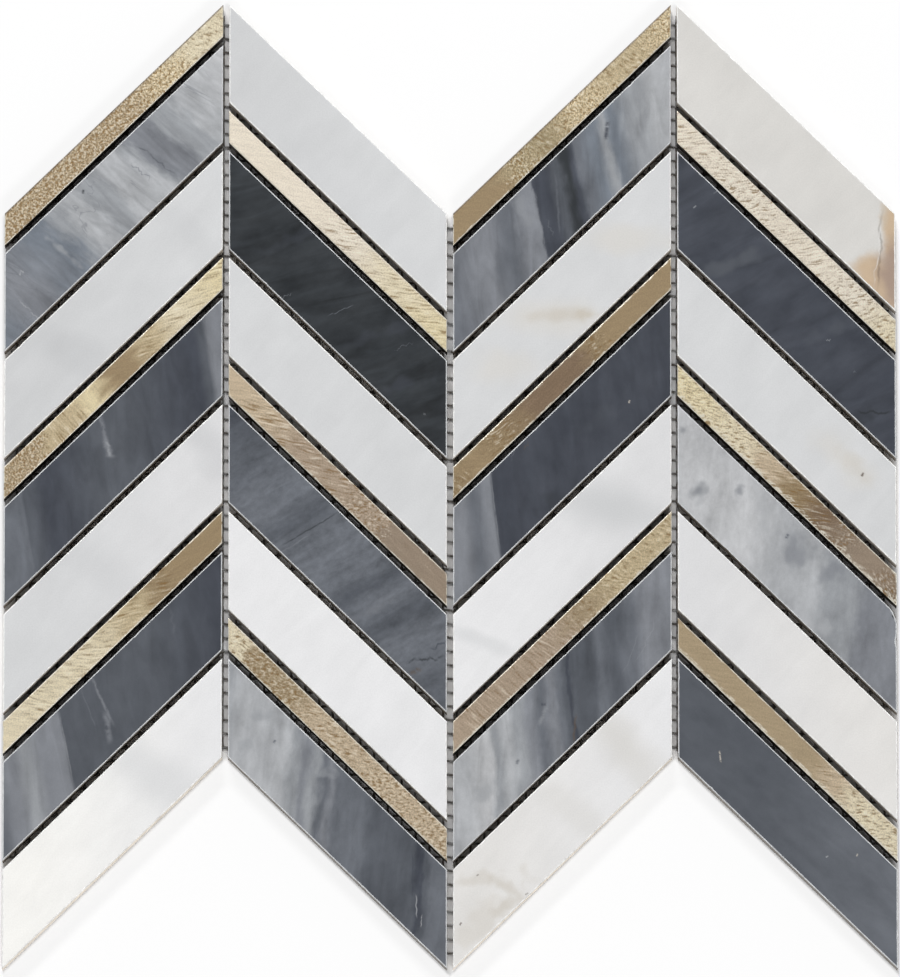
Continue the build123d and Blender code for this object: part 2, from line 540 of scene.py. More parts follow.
        (Patch(-26, -34, 20, 14, IVORY, 0.25, 30, 0.3), Patch(-30, -22, 11, 3, BEIGE, 0.4, 18, 0.4),
         Patch(-19, -24.5, 12, 3, BEIGE, 0.55, -24, 0.4), Patch(-27, -34, 16, 6, BEIGE, 0.3, 40, 0.9),
         Patch(-17, -31, 9, 4, BEIGE, 0.45, 40, 0.8), Patch(21, 22, 32, 11, IVORY, 0.8, -50, 0.2),
         Patch(4, 0, 30, 8, IVORY, 0.4, -40, 0.2)),
        (Wisp(-34, -37, 60, 1.5, 1.0, UMBER, 0.9, 0.2), Wisp(-12, -27, 40, 1.5, 0.9, UMBER, 0.7, 0.2),
         Wisp(-28.3, -20.7, 30, 1.2, 0.9, UMBER, 0.7, 0.2)),
    ),
    "white_marble_c4_r1": white(
        IVORY, IVORY,
        (Patch(38, -22, 8.8, 20, OCHRE, 0.9, 2, 0.25, 0.4),
         Patch(33.5, -42, 15, 14, OCHRE, 0.9, 10, 0.35, 0.55),
         Patch(39, -39, 11.5, 19, ROSE, 0.95, 4, 0.3, 0.6), Patch(33, -18, 2.6, 9, BEIGE, 0.5, 2, 0.3)),
        (Wisp(31.4, -31, 86, 30, 1.4, UMBER, 0.45, 1.6), Wisp(30.8, -31, 86, 32, 0.8, LINEN, 0.55, 1.6)),
    ),
    "white_marble_c4_r4": white(
        CHALK, CHALK,
        (Patch(19, -15, 18, 9, IVORY, 0.8, -40, 0.3), Patch(22, -18, 10, 4, BEIGE, 0.4, -40, 0.3)),
        (Wisp(25.3, -21.4, 50, 1.8, 1.5, UMBER, 0.95, 0.1),),
    ),
    "white_marble_c4_r7": white(SNOW, LINEN, (Patch(26, -36, 14, 8, LINEN, 0.8, -40, 0.2),)),
}

METAL_FINISHES: dict[str, MetalFinish] = {
    "metal_strip_c1_r1": worked(
        (0, TAN, STIPPLED, -14), (0.55, TAN, STIPPLED, -14), (0.75, STRAW, STIPPLED, -14),
        (0.88, CHAMPAGNE, CRUMPLED, -12), (1, CHAMPAGNE, CRUMPLED, -12), upper_line=0.45),
    "metal_strip_c1_r4": worked(
        (0, TAN, STIPPLED, -30), (0.14, TAN, STIPPLED, -40), (0.22, STRAW, COMBED, -47),
        (0.31, STRAW, COMBED, -47), (0.4, PALE_GOLD, SMOOTH, -47), (0.5, BRONZE, SMOOTH, 10),
        (0.57, BRONZE, SMOOTH, 10), (0.68, STRAW, COMBED, 16), (0.8, CHAMPAGNE, COMBED, 18),
        (1, PALE_GOLD, COMBED, 14)),
    "metal_strip_c1_r7": worked(
        (0, CHAMPAGNE, SMOOTH, -6), (0.14, CHAMPAGNE, COMBED, -6), (0.4, CHAMPAGNE, COMBED, 2),
        (0.6, STRAW, COMBED, 14), (0.72, BRONZE, COMBED, 18), (0.82, BRONZE, SMOOTH, 30),
        (1, BRONZE, SMOOTH, 40)),
    "metal_strip_c2_r2": worked(
        (0, SILVER_CHAMPAGNE, SMOOTH, -12), (0.3, SILVER_CHAMPAGNE, SMOOTH, -12),
        (0.55, SILVER_CHAMPAGNE, COMBED, -10), (0.75, CHAMPAGNE, COMBED, -7), (1, PALE_GOLD, COMBED, -7)),
    "metal_strip_c2_r5": worked(
        (0, SAND, SMOOTH, -12), (0.14, SAND, COMBED, -12), (0.34, ROSE_TAN, COMBED, -12),
        (0.5, ROSE_TAN, COMBED, -10), (0.6, ROSE_TAN, GRAINED, -6), (0.7, ROSE_TAN, GRAINED, -2),
        (0.73, TAUPE, SMOOTH, -44), (1, TAUPE, SMOOTH, -44), upper_wear=0.55),
    "metal_strip_c2_r8": worked(
        (0, CHAMPAGNE, CRUMPLED, -20), (0.07, CHAMPAGNE, CRUMPLED, -20), (0.1, TAN, GRAINED, -14),
        (0.28, TAN, GRAINED, -14), (0.4, SAND, CRUMPLED, -10), (0.55, SAND, CRUMPLED, -10),
        (0.7, SAND, GRAINED, -8), (1, SAND, GRAINED, -4), upper_wear=0.6),
    "metal_strip_c3_r1": worked(
        (0, BRONZE, SMOOTH, 0), (0.2, BRONZE, SMOOTH, -20), (0.3, OLD_GOLD, STIPPLED, -25),
        (0.42, OLD_GOLD, CRUMPLED, -25), (0.58, STRAW, STIPPLED, -25), (0.8, STRAW, CRUMPLED, -20),
        (1, STRAW, STIPPLED, -14), upper_line=0.45),
    "metal_strip_c3_r4": worked(
        (0, BRONZE, CRUMPLED, -30), (0.1, BRONZE, SMOOTH, 0), (0.22, BRONZE, CRUMPLED, 30),
        (0.38, BROWN, SMOOTH, 44), (0.56, BROWN, SMOOTH, 44), (0.66, BRONZE, CRUMPLED, 24),
        (0.72, BRONZE, SMOOTH, 20), (1, BRONZE, SMOOTH, 0), upper_wear=0.7, lower_wear=0.6),
    "metal_strip_c3_r7": worked(
        (0, ROSE_TAN, SMOOTH, -40), (0.12, ROSE_TAN, COMBED, -40), (0.45, ROSE_TAN, COMBED, -34),
        (0.6, TAN, CRUMPLED, -16), (0.75, STRAW, CRUMPLED, -10), (1, STRAW, CRUMPLED, -9), lower_wear=0.8),
    "metal_strip_c4_r2": worked(
        (0, SILVER_CHAMPAGNE, COMBED, 3), (0.35, SILVER_CHAMPAGNE, CRUMPLED, 4),
        (0.6, SILVER_CHAMPAGNE, COMBED, 8), (0.8, SILVER_CHAMPAGNE, CRUMPLED, 13),
        (1, CHAMPAGNE, CRUMPLED, 14), lower_wear=0.25),
    "metal_strip_c4_r5": worked(
        (0, PALE_GOLD, CRUMPLED, -10), (0.3, CHAMPAGNE, CRUMPLED, -10), (0.42, SAND, COMBED, -10),
        (0.52, BRONZE, COMBED, -8), (0.66, BROWN, COMBED, -8), (0.76, TAUPE, GRAINED, -12),
        (0.86, TAUPE, SMOOTH, -12), (1, TAUPE, GRAINED, -60), lower_wear=1.7),
    "metal_strip_c4_r8": worked(
        (0, TAN, SMOOTH, -8), (0.6, TAN, SMOOTH, -8), (0.7, SAND, COMBED, -10),
        (0.82, CHAMPAGNE, CRUMPLED, -10), (1, CHAMPAGNE, CRUMPLED, -10), lower_wear=1.2),
}


class FinishNodes:
    """Lays out the nodes of one material, with a Principled shader as its end."""

    SEED_STEP = (3.17, 1.31, 0)  # how far a noise moves for each unit of its seed
    LINE_SEED_STEP = 2.3
    LINE_SCALE = 1.6
    LINE_DETAIL = 3
    MIDDLE = 0.5  # a noise's usual value
    SPREAD = 4  # a noise mostly stays within a quarter of its middle, and this brings that to 1
    SHARE_IN, FIRST_IN, SECOND_IN, MIX_OUT = 0, 6, 7, 2  # a Mix node's places for colours

    def __init__(self, name: str) -> None:
        """Start an empty material.

        Args:
            name: the material's name.
        """
        self.material = bpy.data.materials.new(name)
        self.material.use_nodes = True
        self.tree = self.material.node_tree
        self.tree.nodes.clear()
        self.shader = self.add("ShaderNodeBsdfPrincipled")
        self.output = self.add("ShaderNodeOutputMaterial")
        self.feed(self.output.inputs["Surface"], self.shader.outputs["BSDF"])

    def add(self, kind: str, **settings: object) -> bpy.types.Node:
        """A new node with the given properties.

        Args:
            kind: the node's type.
            settings: its properties.

        Returns:
            The node.
        """
        node = self.tree.nodes.new(kind)
        for name, value in settings.items():
            setattr(node, name, value)
        return node

    def feed(self, socket: Socket, value: object) -> None:
        """Link a socket to another, or set its value.

        Args:
            socket: the socket to feed.
            value: another socket, or a plain value.
        """
        if isinstance(value, Socket):
            self.tree.links.new(value, socket)
        else:
            socket.default_value = value

    def finish(self, **inputs: object) -> bpy.types.Material:
        """Feed the shader's own sockets.

        Args:
            inputs: sockets or plain values, by the sockets' names with underscores for spaces.

        Returns:
            The finished material.
        """
        for name, value in inputs.items():
            self.feed(self.shader.inputs[name.replace("_", " ")], value)
        return self.material

    def place(self, centre: Vector, angle: float, scale: tuple[float, float, float]) -> Socket:
        """Object coordinates measured from a centre, turned and scaled.

        Args:
            centre: middle of the pattern, in metres.
            angle: direction of the pattern's first axis on the sheet, in degrees.
            scale: size of one unit along the pattern's three axes, in millimetres.

        Returns:
            The coordinates' socket.
        """
        coordinates = self.add("ShaderNodeTexCoord").outputs["Object"]
        centred = self.add("ShaderNodeMapping")
        self.feed(centred.inputs["Vector"], coordinates)
        centred.inputs["Location"].default_value = -centre
        turned = self.add("ShaderNodeMapping")
        self.feed(turned.inputs["Vector"], centred.outputs["Vector"])
        turned.inputs["Rotation"].default_value = (0, 0, -math.radians(angle))
        sized = self.add("ShaderNodeMapping")
        self.feed(sized.inputs["Vector"], turned.outputs["Vector"])
        sized.inputs["Scale"].default_value = tuple(1 / (s * MM) for s in scale)
        return sized.outputs["Vector"]

    def split(self, vector: Socket) -> tuple[Socket, Socket]:
        """The first two parts of a vector.

        Args:
            vector: the vector's socket.

        Returns:
            Sockets of its X and Y.
        """
        node = self.add("ShaderNodeSeparateXYZ")
        self.feed(node.inputs["Vector"], vector)
        return node.outputs["X"], node.outputs["Y"]

    def noise(self, look: Noise, seed: float = 0, centre: Vector = SHEET_MIDDLE, angle: float = 0) -> Socket:
        """Fractal noise between 0 and 1.

        Args:
            look: size and character of the noise.
            seed: the piece's seed.
            centre: middle of the noise, in metres.
            angle: its direction on the sheet, in degrees.

        Returns:
            The noise value's socket.
        """
        moved = self.add("ShaderNodeVectorMath", operation="ADD")
        self.feed(moved.inputs[0], self.place(centre, angle, look.size))
        moved.inputs[1].default_value = tuple(step * (seed + look.shift) for step in self.SEED_STEP)
        node = self.add("ShaderNodeTexNoise", noise_dimensions="3D" if look.deep else "2D")
        self.feed(node.inputs["Vector"], moved.outputs["Vector"])
        node.inputs["Scale"].default_value = 1
        node.inputs["Detail"].default_value = look.detail
        node.inputs["Roughness"].default_value = look.rough
        node.inputs["Distortion"].default_value = look.warp
        return node.outputs["Fac"]

    def line_noise(self, place: Socket, seed: float) -> Socket:
        """Noise between 0 and 1 along a line.

        Args:
            place: place along the line.
            seed: the line's seed.

        Returns:
            The noise value's socket.
        """
        node = self.add("ShaderNodeTexNoise", noise_dimensions="1D")
        self.feed(node.inputs["W"], self.maths("ADD", place, self.LINE_SEED_STEP * seed))
        node.inputs["Scale"].default_value = self.LINE_SCALE
        node.inputs["Detail"].default_value = self.LINE_DETAIL
        return node.outputs["Fac"]

    def maths(self, operation: str, first: Value, second: Value = 0.0, third: Value = 0.0) -> Socket:
        """A Math node's result.

        Args:
            operation: the node's operation.
            first: its first value.
            second: its second value.
            third: its third value.

        Returns:
            The result's socket.
        """
        node = self.add("ShaderNodeMath", operation=operation)
        for socket, value in zip(node.inputs, (first, second, third)):
            self.feed(socket, value)
        return node.outputs["Value"]

    def centred(self, value: Socket, reach: float, onto: Value = 0.0) -> Socket:
        """A noise value spread evenly about zero by a reach, added onto another value."""
        off_middle = self.maths("SUBTRACT", value, self.MIDDLE)
        return self.maths("MULTIPLY_ADD", off_middle, self.SPREAD * reach, onto)

    def between(self, low: float, high: float, share: Socket) -> Socket:
        """A level from low to high by a share."""
        return self.maths("MULTIPLY_ADD", share, high - low, low)

    def ramp(self, place: Socket, colours: Iterable[tuple[float, tuple[float, ...]]]) -> Socket:
        """A smooth colour ramp over colours at places from 0 to 1.

        Args:
            place: where the ramp is read.
            colours: pairs of place and colour.

        Returns:
            The colour's socket.
        """
        node = self.add("ShaderNodeValToRGB")
        node.color_ramp.interpolation = "EASE"
        elements = node.color_ramp.elements
        chosen = list(colours)
        while len(elements) < len(chosen):
            elements.new(1.0)
        for element, (position, colour) in zip(elements, chosen):
            element.position = position
            element.color = colour
        self.feed(node.inputs["Fac"], place)
        return node.outputs["Color"]

    def band(self, value: Socket, low: float, high: float) -> Socket:
        """0 below low, 1 above high and smooth between, or the reverse where low is above high.

        Args:
            value: what is measured.
            low: where the result is 0.
            high: where the result is 1.

        Returns:
            The result's socket.
        """
        node = self.add("ShaderNodeMapRange", interpolation_type="SMOOTHSTEP", clamp=True)
        self.feed(node.inputs["Value"], value)
        ends = (low, high, 0.0, 1.0) if low < high else (high, low, 1.0, 0.0)
        for name, end in zip(("From Min", "From Max", "To Min", "To Max"), ends):
            node.inputs[name].default_value = end
        return node.outputs["Result"]

    def shares(self, *values: Value) -> Socket:
        """The product of several values.

        Args:
            values: numbers or sockets.

        Returns:
            The product's socket.
        """
        product = values[0]
        for value in values[1:]:
            product = self.maths("MULTIPLY", product, value)
        return product

    def blend(self, share: Value, first: Colour, second: Colour) -> Socket:
        """A mix of two colours.

        Args:
            share: share of the second colour.
            first: the first colour.
            second: the second colour.

        Returns:
            The mixed colour's socket.
        """
        node = self.add("ShaderNodeMix", data_type="RGBA")
        self.feed(node.inputs[self.SHARE_IN], share)
        self.feed(node.inputs[self.FIRST_IN], first)
        self.feed(node.inputs[self.SECOND_IN], second)
        return node.outputs[self.MIX_OUT]

    def scaled(self, colour: Colour, factor: Value) -> Socket:
        """A colour made lighter or darker by a factor.

        Args:
            colour: the colour.
            factor: the factor.

        Returns:
            The new colour's socket.
        """
        node = self.add("ShaderNodeVectorMath", operation="SCALE")
        self.feed(node.inputs[0], colour)
        self.feed(node.inputs["Scale"], factor)
        return node.outputs["Vector"]

    def bump(self, height: Socket, depth: float) -> None:
        """Give the shader fine relief of a depth in millimetres.

        Args:
            height: height between 0 and 1.
            depth: depth of the relief, in millimetres.
        """
        node = self.add("ShaderNodeBump")
        node.inputs["Strength"].default_value = 1.0
        node.inputs["Distance"].default_value = depth * MM
        self.feed(node.inputs["Height"], height)
        self.feed(self.shader.inputs["Normal"], node.outputs["Normal"])


@dataclass(frozen=True)
class ChipOutline:
    """The slanted outline of a chip, read from its CAD node.

    Attributes:
        corners: its corners on the plane of the sheet, anticlockwise from the lower left.
        bottom: level of its back, in metres.
        top: level of its face, in metres.
    """

    TOLERANCE = 0.01 * MM

    corners: tuple[Vector, Vector, Vector, Vector]
    bottom: float
    top: float

    @classmethod
    def of_node(cls, node: str) -> "ChipOutline":
        """Read the outline of a node.

        Args:
            node: the CAD node's name.

        Returns:
            The outline, with flat corners.
        """
        low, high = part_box(node)
        points = [v.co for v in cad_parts[node].data.vertices if v.co.z < low.z + cls.TOLERANCE]
        left = [p for p in points if p.x < low.x + cls.TOLERANCE]
        right = [p for p in points if p.x > high.x - cls.TOLERANCE]
        ordered = (min(left, key=lambda p: p.y), min(right, key=lambda p: p.y),
                   max(right, key=lambda p: p.y), max(left, key=lambda p: p.y))
        return cls(tuple(Vector((p.x, p.y, 0)) for p in ordered), low.z, high.z)

    @property
    def centre(self) -> Vector:
        """Middle of the chip, on the plane of the sheet."""
        return sum(self.corners, Vector()) / 4

    @property
    def length_way(self) -> Vector:
        """From the chip's left end to its right end."""
        return self.corners[1] - self.corners[0]

    @property
    def height_way(self) -> Vector:
        """From the chip's lower edge to its upper edge, along its ends."""
        return self.corners[3] - self.corners[0]

    @property
    def angle(self) -> float:
        """Slope of the long edges in degrees."""
        return math.degrees(math.atan2(self.length_way.y, self.length_way.x))

    @property
    def lean(self) -> float:
        """Height along the ends for each unit square to the long edges."""
        return 1 / math.cos(math.radians(self.angle))

    @property
    def width(self) -> float:
        """Width square to the long edges."""
        return self.height_way.length / self.lean

    def span(self, angle: float) -> float:
        """Extent of the chip along a direction on the sheet, in millimetres.

        Args:
            angle: the direction, in degrees.

        Returns:
            The extent.
        """
        way = Vector((math.cos(math.radians(angle)), math.sin(math.radians(angle)), 0))
        reaches = [corner.dot(way) for corner in self.corners]
        return (max(reaches) - min(reaches)) / MM

    def inward(self, point: Vector, reach: float) -> Vector:
        """Direction away from the edges that lie within reach of a point, on the plane of the sheet.

        Args:
            point: the point.
            reach: how near an edge counts, in metres.

        Returns:
            The direction, or a zero vector where no edge is near.
        """
        across = self.corners[0].lerp(self.corners[3], 0.5)
        along_share = (point.x - across.x) / self.length_way.x - 0.5
        ridge = across + self.length_way * (along_share + 0.5)
        rise = point.y - ridge.y
        square = Vector((-self.length_way.y, self.length_way.x, 0)).normalized()
        away = Vector()
        if (self.height_way.y / 2 - abs(rise)) / self.lean < reach:
            away -= math.copysign(1, rise) * square
        if (0.5 - abs(along_share)) * self.length_way.x < reach:
            away.x -= math.copysign(1, along_share)
        return away

    def plate(self, inset: float, level: float) -> Matrix:
        """Transform of a unit square at the origin to the outline drawn in by an inset, at a level.

        Args:
            inset: distance in from every edge, in metres.
            level: height, in metres.

        Returns:
            The transform.
        """
        along = self.length_way * (1 - 2 * inset / self.length_way.x)
        upright = self.height_way * (1 - 2 * inset * self.lean / self.height_way.y)
        middle = self.centre
        return Matrix((
            (along.x, upright.x, 0, middle.x),
            (along.y, upright.y, 0, middle.y),
            (0, 0, 1, level),
            (0, 0, 0, 1),
        ))


def seed_of(name: str) -> int:
    """A steady number for a name."""
    return sum(ord(letter) * (place + 1) for place, letter in enumerate(name)) % SEED_COUNT


def piece_from(bm: bmesh.types.BMesh, name: str, materials: Iterable[bpy.types.Material]) -> bpy.types.Object:
    """Turn a bmesh into an object at the origin.

    Args:
        bm: the finished bmesh, which is freed.
        name: the piece's name.
        materials: its material slots, in order.

    Returns:
        The object, linked to the scene.
    """
    mesh = bpy.data.meshes.new(name)
    bm.to_mesh(mesh)
    bm.free()
    for material in materials:
        mesh.materials.append(material)
    piece = bpy.data.objects.new(name, mesh)
    bpy.context.scene.collection.objects.link(piece)
    return piece


def seat(piece: bpy.types.Object, node: str) -> bpy.types.Object:
    """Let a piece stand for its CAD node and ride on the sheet.

    Args:
        piece: the finished piece.
        node: the CAD node's name.

    Returns:
        The same piece.
    """
    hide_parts(node)
    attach(piece, BODY)
    log.info("%s: %d faces", piece.name, len(piece.data.polygons))
    return piece


@dataclass(frozen=True)
class SawnSide:
    """Sawn sides and back of a chip, stained by adhesive; the dark tone of the metal strips' sides is partly
    painted shade of the joints.
    """

    MARKS = Noise((5, 5, 0.35), 2.0, deep=True)
    SMEARS = Noise((6, 6, 6), 7.0, detail=4, deep=True)
    MARK_LEVELS = (0.55, 0.95)
    SMEAR_SHARE = 0.5
    MARK_DEPTH = 0.06

    name: str
    tone: Tone
    rough: float = 0.75
    metal: float = 0.0

    def material(self) -> bpy.types.Material:
        """A matt material with saw marks and smears.

        Returns:
            The material.
        """
        nodes = FinishNodes(self.name)
        marks = nodes.noise(self.MARKS)
        level = nodes.between(*self.MARK_LEVELS, marks)
        level = nodes.maths("MULTIPLY_ADD", nodes.noise(self.SMEARS), self.SMEAR_SHARE, level)
        nodes.bump(marks, self.MARK_DEPTH)
        colour = nodes.scaled(self.tone.linear[:3], level)
        return nodes.finish(Base_Color=colour, Roughness=self.rough, Metallic=self.metal)


@dataclass(frozen=True)
class GroundArris:
    """The narrow ground edge round a marble chip's face, paler than the honed face: partly the ground stone's
    own tone, partly a painted highlight.
    """

    WEAR = Noise((2.2, 2.2, 2.2), 4.0, detail=4)
    WEAR_LEVELS = (0.62, 1.32)

    name: str
    tone: Tone
    rough: float = 0.55

    def material(self) -> bpy.types.Material:
        """A matt, slightly uneven material.

        Returns:
            The material.
        """
        nodes = FinishNodes(self.name)
        level = nodes.between(*self.WEAR_LEVELS, nodes.noise(self.WEAR))
        return nodes.finish(Base_Color=nodes.scaled(self.tone.linear[:3], level), Roughness=self.rough)


@dataclass(kw_only=True)
class SlantedChip:
    """A slanted chip made as one skin: a gridded face, a rim turned over its edges, sides and a back.

    Attributes:
        node: the CAD node it stands for.
        slot: the record's material slot; not used.
        side: material of its sides and back.
        pitch: distance between the points of its face, in metres.
    """

    RIM, SIDE = 1, 2  # material slots after the face's

    node: str
    slot: str
    side: bpy.types.Material
    pitch: float
    outline: ChipOutline = field(init=False)
    seed: int = field(init=False)

    def __post_init__(self) -> None:
        """Read the outline and settle the seed."""
        self.outline = ChipOutline.of_node(self.node)
        self.seed = seed_of(self.node)

    def rim_profile(self) -> list[tuple[float, float]]:
        """The rim's section from the face to the sides, as insets and drops in metres."""
        raise NotImplementedError

    def work_face(self, bm: bmesh.types.BMesh) -> None:
        """Work the flat gridded face before the rim is turned."""

    def wear_edges(self, bm: bmesh.types.BMesh) -> None:
        """Wear the edges of the closed chip."""

    def face_materials(self) -> tuple[bpy.types.Material, bpy.types.Material]:
        """Materials of the face and the rim."""
        raise NotImplementedError

    def noise_on(self, nodes: FinishNodes, look: Noise, angle: float = 0) -> Socket:
        """A noise over this chip, in a direction on the sheet in degrees."""
        return nodes.noise(look, self.seed, self.outline.centre, angle)

    def build(self) -> bpy.types.Object:
        """Model the chip and put it in its place.

        Returns:
            The finished piece.
        """
        outline, profile = self.outline, self.rim_profile()
        columns = int(outline.length_way.length / self.pitch)
        rows = int(outline.width / self.pitch)
        bm = bmesh.new()
        bmesh.ops.create_grid(bm, x_segments=columns, y_segments=rows, size=0.5,
                              matrix=outline.plate(profile[0][0], outline.top))
        self.work_face(bm)
        for (inset, drop), (next_inset, next_drop) in zip(profile, profile[1:]):
            grow = outline.plate(next_inset, drop - next_drop) @ outline.plate(inset, 0).inverted()
            self._grow_border(bm, grow, self.RIM, smooth=True)
        self._drop_sides(bm)
        bmesh.ops.recalc_face_normals(bm, faces=bm.faces)
        self.wear_edges(bm)
        piece = piece_from(bm, f"{self.node}_dressed", (*self.face_materials(), self.side))
        return seat(piece, self.node)

    def _drop_sides(self, bm: bmesh.types.BMesh) -> None:
        """Bring the sides down to the mesh and close the back.

        Args:
            bm: the chip so far.
        """
        for point in self._grow_border(bm, Matrix.Identity(4), self.SIDE, smooth=False):
            point.co.z = self.outline.bottom
        border = [edge for edge in bm.edges if edge.is_boundary]
        bmesh.ops.edgeloop_fill(bm, edges=border, mat_nr=self.SIDE, use_smooth=False)

    @staticmethod
    def _grow_border(bm: bmesh.types.BMesh, move: Matrix, slot: int,
                     smooth: bool) -> list[bmesh.types.BMVert]:
        """Extrude the open border and move it.

        Args:
            bm: the chip so far.
            move: transform of the new border.
            slot: material slot of the new faces.
            smooth: whether they shade smoothly.

        Returns:
            The new border's points.
        """
        border = [edge for edge in bm.edges if edge.is_boundary]
        grown = bmesh.ops.extrude_edge_only(bm, edges=border)["geom"]
        points = [part for part in grown if isinstance(part, bmesh.types.BMVert)]
        for face in (part for part in grown if isinstance(part, bmesh.types.BMFace)):
            face.material_index = slot
            face.smooth = smooth
        bmesh.ops.transform(bm, matrix=move, verts=points)
        return points


@dataclass(kw_only=True)
class StoneChip(SlantedChip):
    """One marble chip with a worn, ground arris and a honed, patterned face.

    Attributes:
        finish: the pattern of its face.
        edge: material of the ground arris, pale partly from grinding and partly as a painted highlight.
        arris: width of the ground edge, in metres.
        wander: how far the arris strays, in metres.
        nick_count: small random nicks along the arris.
    """

    ARRIS_SECTION = ((1, 0), (0.45, 0.3), (0.12, 0.62), (0, 1))  # insets and drops, in widths of the arris
    WEAR_DEPTH, WEAR_REACH, FACE_DEPTH = 1.5, 1.2, 0.1  # where the edges wear, in widths of the arris
    SIDE_WEAR = 0.7  # wear below the face, as a share of the wear on it
    WANDER_LENGTH = 2.5 * MM
    NICK_RADII, NICK_DEPTHS = (0.6, 1.4), (0.08, 0.22)  # in millimetres
    DRIFT = Noise((22, 9, 9), 0.3, detail=5, rough=0.6)
    CLOUD = Noise((16, 10, 10), 23.7, detail=5, rough=0.55)
    SPECKLE = Noise((2.6, 1.7, 1.7), 3.9, detail=5, rough=0.65)
    FINE = Noise((0.5, 0.5, 0.5), 5.5, detail=2)
    FINE_LEVELS = (0.94, 1.06)
    FINE_DEPTH = 0.004
    ROUGHNESS = (0.28, 0.48)
    WISP_BREAKS, VEIN_BREAKS = (0.25, 0.55), (0.5, 0.62)  # levels of the noise where lines break
    WISP_TAPER = 0.5  # share of a wisp's length from which it fades

    finish: StoneFinish
    edge: bpy.types.Material
    pitch: float = 1.0 * MM
    arris: float = 0.36 * MM
    wander: float = 0.06 * MM
    nick_count: int = 3

    def rim_profile(self) -> list[tuple[float, float]]:
        """A ground arris, a little rounded."""
        return [(inset * self.arris, drop * self.arris) for inset, drop in self.ARRIS_SECTION]

    def wear_edges(self, bm: bmesh.types.BMesh) -> None:
        """Let the arris wander inwards a little, with small nicks.

        Args:
            bm: the closed chip.
        """
        picker, outline, reach = random.Random(self.seed), self.outline, self.WEAR_REACH * self.arris
        worn = [vert for vert in bm.verts if vert.co.z > outline.top - self.WEAR_DEPTH * self.arris
                and outline.inward(vert.co, reach).length > 0]
        nicks = [Nick(*((picker.choice(worn).co - outline.centre) / MM).xy, picker.uniform(*self.NICK_RADII),
                      picker.uniform(*self.NICK_DEPTHS)) for _ in range(self.nick_count)]
        nicks.extend(self.finish.nicks)
        moves = []
        for vert in worn:
            stray = noise.noise(vert.co / self.WANDER_LENGTH + Vector((self.seed, 0, 0)))
            depth = self.wander * (0.5 + 0.5 * stray)
            depth += sum(nick.depth_at((vert.co - outline.centre) / MM) * MM for nick in nicks)
            share = 1.0 if vert.co.z > outline.top - self.FACE_DEPTH * self.arris else self.SIDE_WEAR
            moves.append(outline.inward(vert.co, reach) * depth * share)
        for vert, move in zip(worn, moves):
            vert.co += move

    def face_materials(self) -> tuple[bpy.types.Material, bpy.types.Material]:
        """The honed, patterned marble of this chip, and its ground arris.

        Returns:
            Materials of the face and the rim.
        """
        finish, grain = self.finish, self.finish.grain
        nodes = FinishNodes(f"{self.node}_face")
        span = self.outline.span(finish.tone_angle)
        along, _ = nodes.split(nodes.place(self.outline.centre, finish.tone_angle, (span, span, span)))
        drift = self.noise_on(nodes, self.DRIFT, grain.angle)
        place = nodes.centred(drift, 0.5 * finish.drift, nodes.maths("ADD", along, 0.5))
        colour = nodes.ramp(place, ((stop.place, stop.tone.linear) for stop in finish.tones))
        cloud = self.noise_on(nodes, self.CLOUD, grain.angle)
        level = nodes.centred(self.noise_on(nodes, grain.streaks, grain.angle), grain.strength, 1.0)
        level = nodes.centred(cloud, finish.clouds, level)
        level = nodes.centred(self.noise_on(nodes, self.SPECKLE, grain.angle), finish.mottle, level)
        colour = nodes.scaled(colour, level)
        for veins in finish.veins:
            colour = self._with_veins(nodes, colour, veins)
        for patch in finish.patches:
            colour = self._with_patch(nodes, colour, patch)
        for wisp in finish.wisps:
            colour = self._with_wisp(nodes, colour, wisp)
        fine = self.noise_on(nodes, self.FINE)
        nodes.bump(fine, self.FINE_DEPTH)
        colour = nodes.scaled(colour, nodes.between(*self.FINE_LEVELS, fine))
        return nodes.finish(Base_Color=colour, Roughness=nodes.between(*self.ROUGHNESS, cloud)), self.edge

    def _with_patch(self, nodes: FinishNodes, colour: Socket, patch: Patch) -> Socket:
        """Lay a stain over the colour.

        Args:
            nodes: the material.
            colour: the colour so far.
            patch: the stain.

        Returns:
            The new colour's socket.
        """
        middle = self.outline.centre + Vector((patch.x, patch.y, 0)) * MM
        length = nodes.add("ShaderNodeVectorMath", operation="LENGTH")
        extent = (patch.width, patch.height, patch.DEPTH)
        nodes.feed(length.inputs[0], nodes.place(middle, patch.angle, extent))
        torn = nodes.noise(patch.tears, self.seed, middle, patch.angle)
        reach = nodes.centred(torn, patch.ragged, length.outputs["Value"])
        share = nodes.band(reach, 1.0, 1.0 - patch.softness)
        return nodes.blend(nodes.maths("MULTIPLY", share, patch.strength), colour, patch.tone.linear)

    def _with_wisp(self, nodes: FinishNodes, colour: Socket, wisp: Wisp) -> Socket:
        """Draw one thin, swaying, broken line over the colour.

        Args:
            nodes: the material.
            colour: the colour so far.
            wisp: the line.

        Returns:
            The new colour's socket.
        """
        middle = self.outline.centre + Vector((wisp.x, wisp.y, 0)) * MM
        extent = (wisp.length / 2, wisp.width / 2, wisp.DEPTH)
        along, across = nodes.split(nodes.place(middle, wisp.angle, extent))
        sway = nodes.line_noise(along, self.seed + wisp.x)
        line = nodes.maths("ABSOLUTE", nodes.centred(sway, wisp.sway / wisp.width, across))
        torn = nodes.noise(wisp.tears, self.seed, middle, wisp.angle)
        ends = nodes.band(nodes.maths("ABSOLUTE", along), 1.0, self.WISP_TAPER)
        unbroken = nodes.band(torn, *self.WISP_BREAKS)
        share = nodes.shares(nodes.band(line, 1.0, 0.0), ends, unbroken, wisp.strength)
        return nodes.blend(share, colour, wisp.tone.linear)

